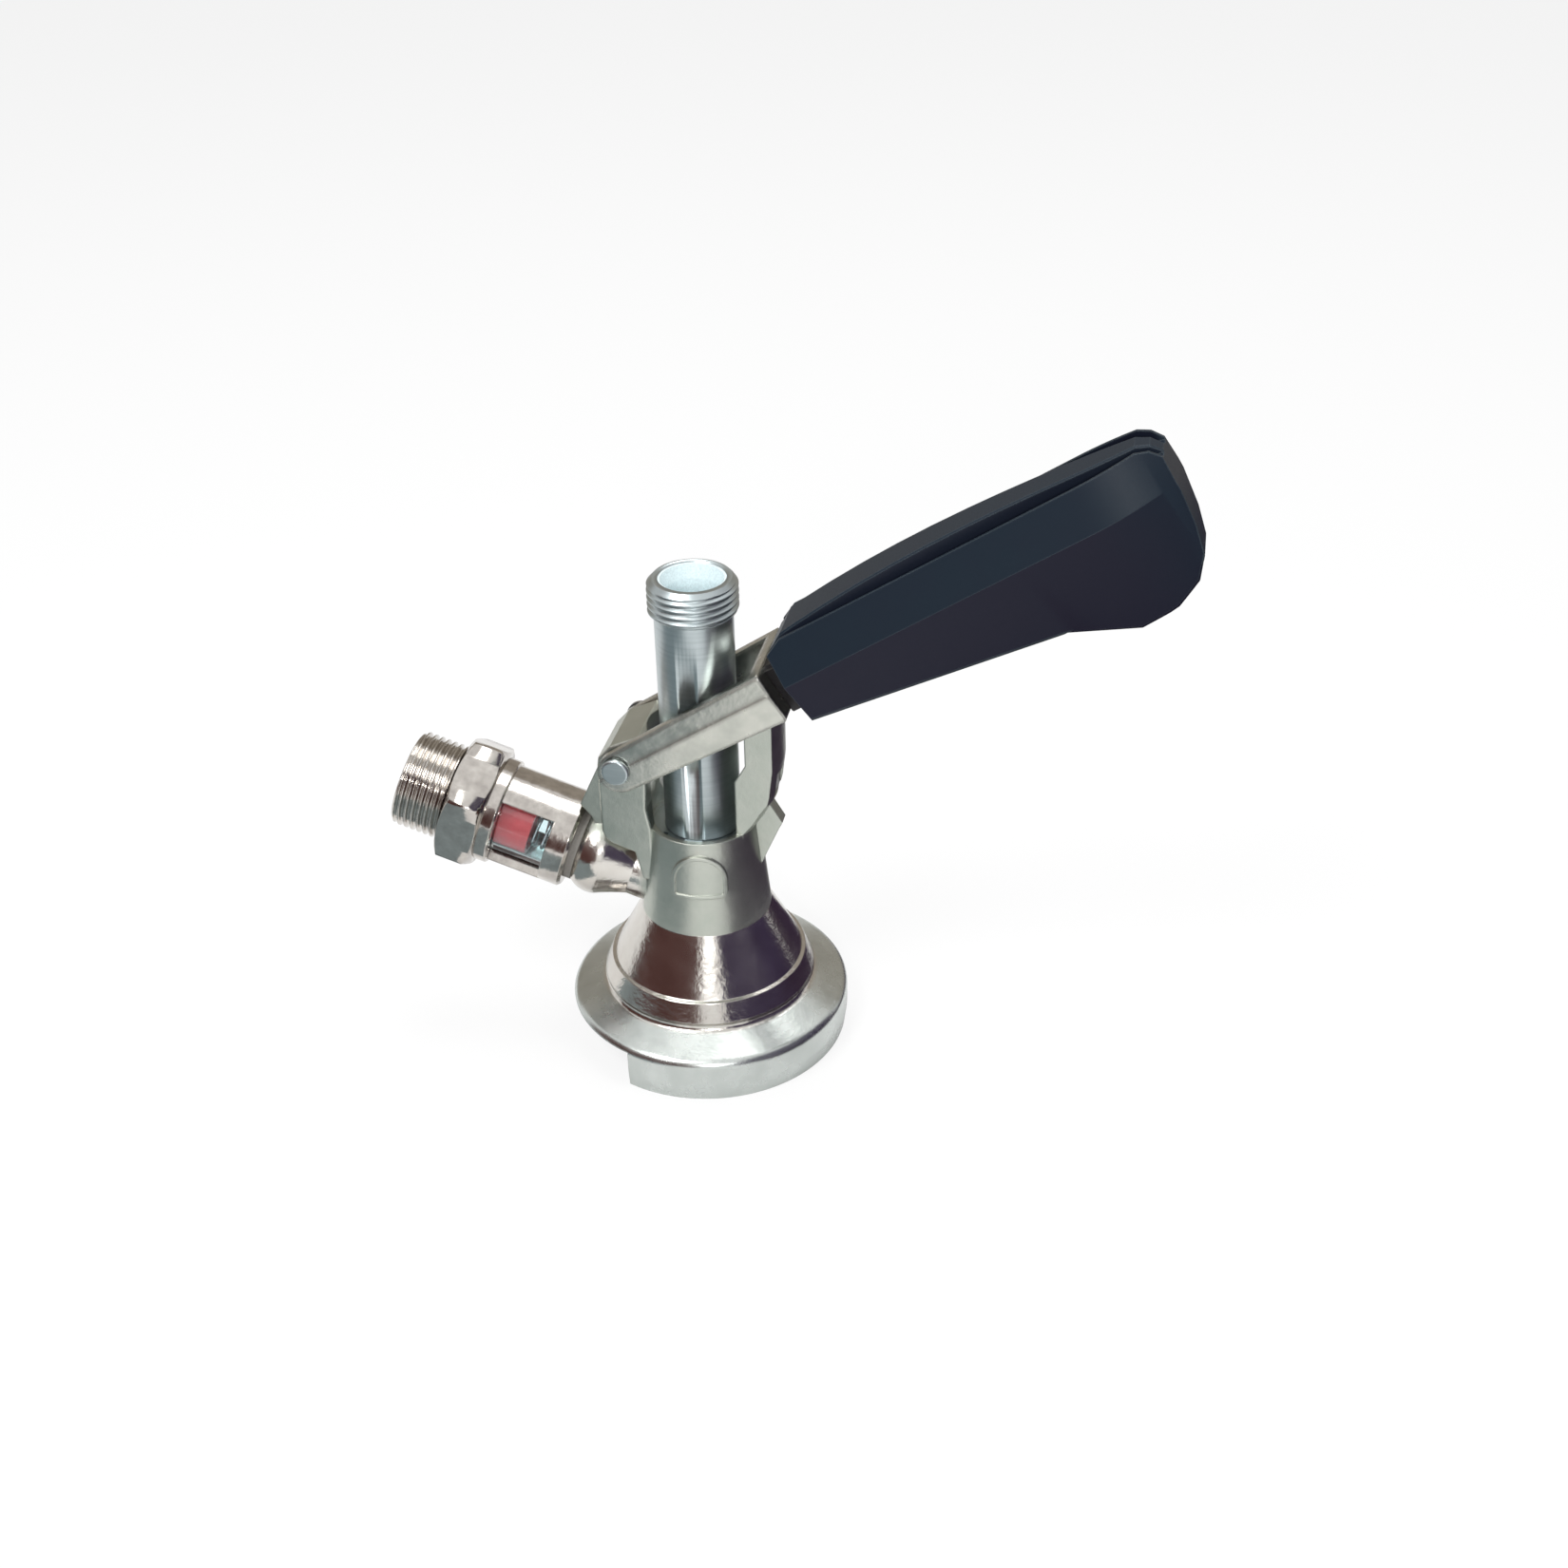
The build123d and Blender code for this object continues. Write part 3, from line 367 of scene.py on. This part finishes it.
# ---- helpers for pieces ------------------------------------------------------------------------
def dress(obj, slot_name, finish=None):
    """Gives a piece its finish: the one given, or else the finish of the record's slot."""
    obj.data.materials.clear()
    obj.data.materials.append((finish or finishes[slot_name]).material)


def smooth(obj, edge_angle=32):
    """Smooth shading, with edges kept sharp from that many degrees."""
    obj.data.shade_smooth()
    obj.data.set_sharp_from_angle(angle=radians(edge_angle))


def applied(obj):
    """Turns the piece's modifiers into its mesh."""
    seen = obj.evaluated_get(bpy.context.evaluated_depsgraph_get())
    mesh = bpy.data.meshes.new_from_object(seen)
    obj.modifiers.clear()
    obj.data = mesh


def from_bmesh(work, name):
    """A new piece from a finished bmesh."""
    mesh = bpy.data.meshes.new(name)
    work.to_mesh(mesh)
    work.free()
    obj = bpy.data.objects.new(name, mesh)
    bpy.context.scene.collection.objects.link(obj)
    return obj


# ---- dress the CAD nodes -----------------------------------------------------------------------
slots = {part["node"]: part["material_slot"] for part in frame["record"]["subparts"]}
for node_name, obj in nodes.items():
    dress(obj, slots[node_name], own_finishes.get(node_name))
    smooth(obj)


# ---- grip --------------------------------------------------------------------------------------
def lofted(name, sections):
    """A closed solid through sections on the handle: a station and its (across, above) points."""
    work = bmesh.new()
    loops = [
        [work.verts.new(lever_pivot + (lever_dir * s + Vector((0, y, 0)) + lever_up * t) * MM)
         for y, t in outline]
        for s, outline in sections
    ]
    for one, two in zip(loops, loops[1:]):
        for i in range(len(one)):
            k = (i + 1) % len(one)
            work.faces.new((one[i], one[k], two[k], two[i]))
    work.faces.new(loops[0])
    work.faces.new(loops[-1])
    bmesh.ops.recalc_face_normals(work, faces=work.faces)
    return from_bmesh(work, name)


def hollow(obj, tool):
    """Cuts the tool's solid from the piece."""
    modifier = obj.modifiers.new("hollow", "BOOLEAN")
    modifier.operation, modifier.solver, modifier.object = "DIFFERENCE", "EXACT", tool
    applied(obj)
    bpy.data.objects.remove(tool)


def between(line, s):
    """Height of a line of (station, height) corners at a station."""
    for (s0, t0), (s1, t1) in zip(line, line[1:]):
        if s <= s1:
            return t0 + (t1 - t0) * (s - s0) / (s1 - s0)
    return line[-1][1]


def grip_section(s):
    """The grip's outline at a station: five flats, a trough inside each lip and a crowned rib."""
    low, top = between(grip_belly, s), between(grip_back, s)
    run = min(1, max(0, (s - rib_start_s) / rib_length))
    waist = 1 - butt_pinch * max(0, (s - butt_start_s) / butt_length) ** 2
    rib_w = (rib_half_w - rib_taper * run) * waist
    rib_top = top + (rib_crown * sin(pi * run ** rib_skew) if run < 1 else 0)
    fade = min(1, (trough_end_s - s) / trough_ramp)
    floor = top - trough_depth - trough_growth * run * fade

    def inside(t):
        return max(low, min(top, t))

    def side(t):
        return waist * between(grip_flank, inside(t))

    lower_corner, upper_corner = grip_flank[1][0], grip_flank[2][0]
    half = [
        (side(low) - lip_edge, low), (side(low), inside(low + lip_edge)),
        (side(lower_corner), inside(lower_corner)), (side(upper_corner), inside(upper_corner)),
        (side(top), top), (side(top) - lip_edge, top), (side(top) - lip_w, floor),
        (rib_w, floor), (rib_w, rib_top - rib_edge_h), (rib_w - rib_edge_w, rib_top),
    ]
    return half + [(-y, t) for y, t in reversed(half)]


def grip_shell():
    """The moulded grip, open at its mouth for the collar and the spigot."""
    obj = lofted("grip_shell", [(s, grip_section(s)) for s in grip_stations])
    for end_s, half_w, top, bottom in grip_pockets:
        pocket = [(-half_w, bottom), (half_w, bottom), (half_w, top), (-half_w, top)]
        hollow(obj, lofted("pocket", [(pocket_start_s, pocket), (end_s, pocket)]))
    smooth(obj, edge_angle=17)
    dress(obj, "grip_plastic")
    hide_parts("grip")
    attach(obj, "latch")


grip_shell()


# ---- hose threads ------------------------------------------------------------------------------
def thread_recipe():
    """A pipe thread round Z between two stations, faded by the cones turned at its ends."""
    r = Recipe(
        "hose_thread", "Major", "Depth", "Pitch", "Low", "High", "Low radius", "High radius",
        "Low slope", "High slope")
    grid = r.node("GeometryNodeMeshGrid", {}, {
        "Size X": 1.0, "Size Y": 1.0, "Vertices X": 129, "Vertices Y": 97,
    })
    flat = r.node("GeometryNodeInputPosition", {}, {})
    turn, rise = r.axis(flat, 0) + 0.5, r.axis(flat, 1) + 0.5
    low, high = r.size("Low"), r.size("High")
    station = low + (high - low) * rise
    phase = (station / r.size("Pitch") - turn).math("FRACT")
    flank = ((abs(phase * 2 - 1) - 0.5) * 1.5 + 0.5).clamp()
    cut = r.size("Major") - r.size("Depth") * flank
    below = r.size("Low radius") + (station - low) * r.size("Low slope")
    above = r.size("High radius") + (high - station) * r.size("High slope")
    radius = cut.math("MINIMUM", below.math("MINIMUM", above))
    angle = turn * (2 * pi)
    place = r.node("ShaderNodeCombineXYZ", {}, {
        "X": radius * angle.math("COSINE"), "Y": radius * angle.math("SINE"), "Z": station,
    })
    wound = r.node("GeometryNodeSetPosition", {}, {"Geometry": grid, "Position": place})
    seam = {"Geometry": wound, "Distance": 0.002 * MM}
    r.close(r.node("GeometryNodeMergeByDistance", {}, seam))
    return r


def along(origin, direction):
    """Matrix that stands +Z along a direction from a point."""
    across = Vector((0, 1, 0))
    axes = Matrix((across.cross(direction), across, direction)).transposed()
    return Matrix.Translation(origin) @ axes.to_4x4()


def threaded(node, on_thread, thread, slot_name):
    """A copy of a CAD node whose plain thread barrel is taken off, joined with a real thread."""
    work = bmesh.new()
    work.from_mesh(nodes[node].data)
    bmesh.ops.remove_doubles(work, verts=work.verts, dist=0.001 * MM)
    gone = [face for face in work.faces if on_thread(face.calc_center_median())]
    bmesh.ops.delete(work, geom=gone, context="FACES")
    work.from_mesh(thread.data)
    bpy.data.objects.remove(thread)
    obj = from_bmesh(work, node + "_threaded")
    dress(obj, slot_name)
    smooth(obj)
    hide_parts(node)
    return obj


def on_outlet_thread(centre):
    outside = hypot(centre.x, centre.y) > (tube_r + thread_margin) * MM
    return outside and centre.z > (outlet_low_z - thread_margin) * MM


def on_inlet_thread(centre):
    station = (centre - branch_root).dot(branch_dir)
    outside = (centre - branch_root - branch_dir * station).length > inlet_core_r * MM
    return outside and station > (hex_end_s + thread_margin) * MM


hose_thread = thread_recipe()
outlet_thread = hose_thread.grow(
    "outlet_thread", finishes["stainless"], Matrix(), Major=outlet_r * MM,
    Depth=outlet_depth * MM, Pitch=pipe_pitch * MM, Low=outlet_low_z * MM, High=outlet_top_z * MM,
    Low_radius=tube_r * MM, High_radius=(outlet_r - outlet_chamfer) * MM,
    Low_slope=(outlet_r - tube_r) / outlet_runout, High_slope=1.0,
)
tube = threaded("beer_tube", on_outlet_thread, outlet_thread, "stainless")
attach(tube, "probe")

inlet_thread = hose_thread.grow(
    "inlet_thread", finishes["plated_brass"], along(branch_root, branch_dir), Major=inlet_r * MM,
    Depth=inlet_depth * MM, Pitch=pipe_pitch * MM, Low=hex_end_s * MM, High=inlet_end_s * MM,
    Low_radius=(inlet_r - inlet_chamfer) * MM, High_radius=(inlet_r - inlet_chamfer) * MM,
    Low_slope=1.0, High_slope=1.0,
)
nipple = threaded("inlet_nipple", on_inlet_thread, inlet_thread, "plated_brass")
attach(nipple, "main")


# ---- valve spring, seen through the sight glass ------------------------------------------------
def spring_recipe():
    """Round wire wound into an open coil that stands on Z = 0."""
    r = Recipe("coil_spring", "Radius", "Wire", "Turns", "Length")
    coil = r.node("GeometryNodeCurveSpiral", {}, {
        "Resolution": 28, "Rotations": r.size("Turns"), "Start Radius": r.size("Radius"),
        "End Radius": r.size("Radius"), "Height": r.size("Length"),
    })
    wire = {"Resolution": 10, "Radius": r.size("Wire")}
    ring = r.node("GeometryNodeCurvePrimitiveCircle", {}, wire)
    swept = {"Curve": coil, "Profile Curve": ring, "Fill Caps": True}
    r.close(r.node("GeometryNodeCurveToMesh", {}, swept))
    return r


spring_low, spring_high = spring_floor_s + spring_wire_r, spring_top_s - spring_wire_r
spring = spring_recipe().grow(
    "valve_coil", finishes["spring_steel"],
    along(branch_root + branch_dir * spring_low * MM, branch_dir), Radius=spring_r * MM,
    Wire=spring_wire_r * MM, Turns=spring_turns, Length=(spring_high - spring_low) * MM,
)
spring.data.shade_smooth()
dress(spring, "spring_steel")
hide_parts("valve_spring")
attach(spring, "main")
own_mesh(spring)

# ---- stage -------------------------------------------------------------------------------------
scene = bpy.context.scene
scene.view_settings.view_transform = "Standard"

floor_size = 6
floor_grey, floor_glow = (0.86, 0.86, 0.86, 1), 0.80
card_height = 0.001


def plain_floor():
    """A plain floor, white to the eye, which keeps the object's soft shadow."""
    material = bpy.data.materials.new("floor")
    t = Stage(material)
    seen = t.node("ShaderNodeLightPath", {}, {}, out="Is Camera Ray")
    cloth = t.node("ShaderNodeBsdfDiffuse", {}, {"Color": floor_grey})
    glow = t.node("ShaderNodeEmission", {}, {})
    both = t.node("ShaderNodeMixShader", {}, {0: seen * floor_glow, 1: cloth, 2: glow})
    t.end("ShaderNodeOutputMaterial", both)
    bpy.ops.mesh.primitive_plane_add(size=1)
    obj = bpy.context.object
    obj.name = "floor"
    obj.scale = (floor_size, floor_size, 1)
    obj.data.materials.append(material)


def card(name, colour, corners):
    """A studio card that only polished surfaces see: four corners in metres."""
    material = bpy.data.materials.new(name)
    t = Stage(material)
    t.end("ShaderNodeOutputMaterial", t.node("ShaderNodeEmission", {}, {"Color": (*colour, 1)}))
    mesh = bpy.data.meshes.new(name)
    mesh.from_pydata(corners, [], [tuple(range(len(corners)))])
    mesh.materials.append(material)
    obj = bpy.data.objects.new(name, mesh)
    scene.collection.objects.link(obj)
    obj.visible_camera = obj.visible_diffuse = obj.visible_shadow = False
    obj.visible_transmission = False


def lying(low, high, near, far):
    """Corners of a floor card between two compass angles and two distances."""
    steps = [radians(low + (high - low) * i / 8) for i in range(9)]
    inner = [(near * cos(a), near * sin(a), card_height) for a in steps]
    return inner + [(far * cos(a), far * sin(a), card_height) for a in reversed(steps)]


def upright(low, high, distance, top):
    """Corners of a standing card between two compass angles."""
    (x0, y0), (x1, y1) = [
        (distance * cos(radians(a)), distance * sin(radians(a))) for a in (low, high)]
    return [(x0, y0, 0), (x1, y1, 0), (x1, y1, top), (x0, y0, top)]


plain_floor()
card("floor_card_right", (0.045, 0.028, 0.055), lying(-44, 70, 0.065, 0.9))
card("floor_card_left", (0.30, 0.36, 0.38), lying(-175, -106, 0.075, 0.9))
card("wall_card_right", (0.055, 0.040, 0.085), upright(-62, 30, 0.95, 0.75))
card("wall_card_left", (0.11, 0.05, 0.045), upright(-180, -88, 0.95, 0.75))
card("wall_card_back", (0.42, 0.38, 0.33), upright(40, 160, 1.2, 0.8))


def white_room():
    """The world: a weak white light, and full white to the eye, in metal and through glass."""
    world = bpy.data.worlds.new("studio")
    scene.world = world
    t = Stage(world)
    eye, mirror, glass = [
        t.node("ShaderNodeLightPath", {}, {}, out=ray)
        for ray in ("Is Camera Ray", "Is Glossy Ray", "Is Transmission Ray")
    ]
    light, white = [
        t.node("ShaderNodeBackground", {}, {"Color": (1, 1, 1, 1), "Strength": strength})
        for strength in (0.45, 1.0)
    ]
    direct = eye.math("MAXIMUM", mirror).math("MAXIMUM", glass)
    both = t.node("ShaderNodeMixShader", {}, {0: direct, 1: light, 2: white})
    t.end("ShaderNodeOutputWorld", both)


white_room()


def softbox(name, place, aim_z, size, power):
    """A lamp at place that faces a point on the tube's axis."""
    lamp = bpy.data.lights.new(name, "AREA")
    lamp.shape, lamp.size, lamp.size_y, lamp.energy = "RECTANGLE", size[0], size[1], power
    obj = bpy.data.objects.new(name, lamp)
    obj.location = place
    aim = Vector((0, 0, aim_z))
    obj.rotation_euler = (Vector(place) - aim).to_track_quat("Z", "Y").to_euler()
    scene.collection.objects.link(obj)


softbox("key", (-0.40, -0.60, 1.05), 0.08, (0.50, 0.50), 8)
softbox("front", (0.21, -0.84, 0.47), 0.07, (0.10, 0.10), 2.2)
softbox("fill", (0.85, -0.35, 0.60), 0.08, (0.4, 0.5), 1.8)
softbox("top", (0.05, 0.30, 1.1), 0.08, (0.7, 0.5), 5)

# ---- camera ------------------------------------------------------------------------------------
camera_place = Vector((0.1122, -0.4188, 0.3479))
camera_yaw, camera_pitch = atan2(0.8269, -0.1781), radians(-32.24)
camera_roll = radians(-1.2)
ahead = Vector((
    cos(camera_pitch) * cos(camera_yaw), cos(camera_pitch) * sin(camera_yaw), sin(camera_pitch),
))
level = Vector((sin(camera_yaw), -cos(camera_yaw), 0))
above = level.cross(ahead)
right = level * cos(camera_roll) + above * sin(camera_roll)
up = right.cross(ahead)
camera_data = bpy.data.cameras.new("camera")
camera_data.sensor_width, camera_data.lens = 36.0, 44.95
camera = bpy.data.objects.new("camera", camera_data)
camera_turn = Matrix((right, up, -ahead)).transposed().to_4x4()
camera.matrix_world = Matrix.Translation(camera_place) @ camera_turn
scene.collection.objects.link(camera)
scene.camera = camera
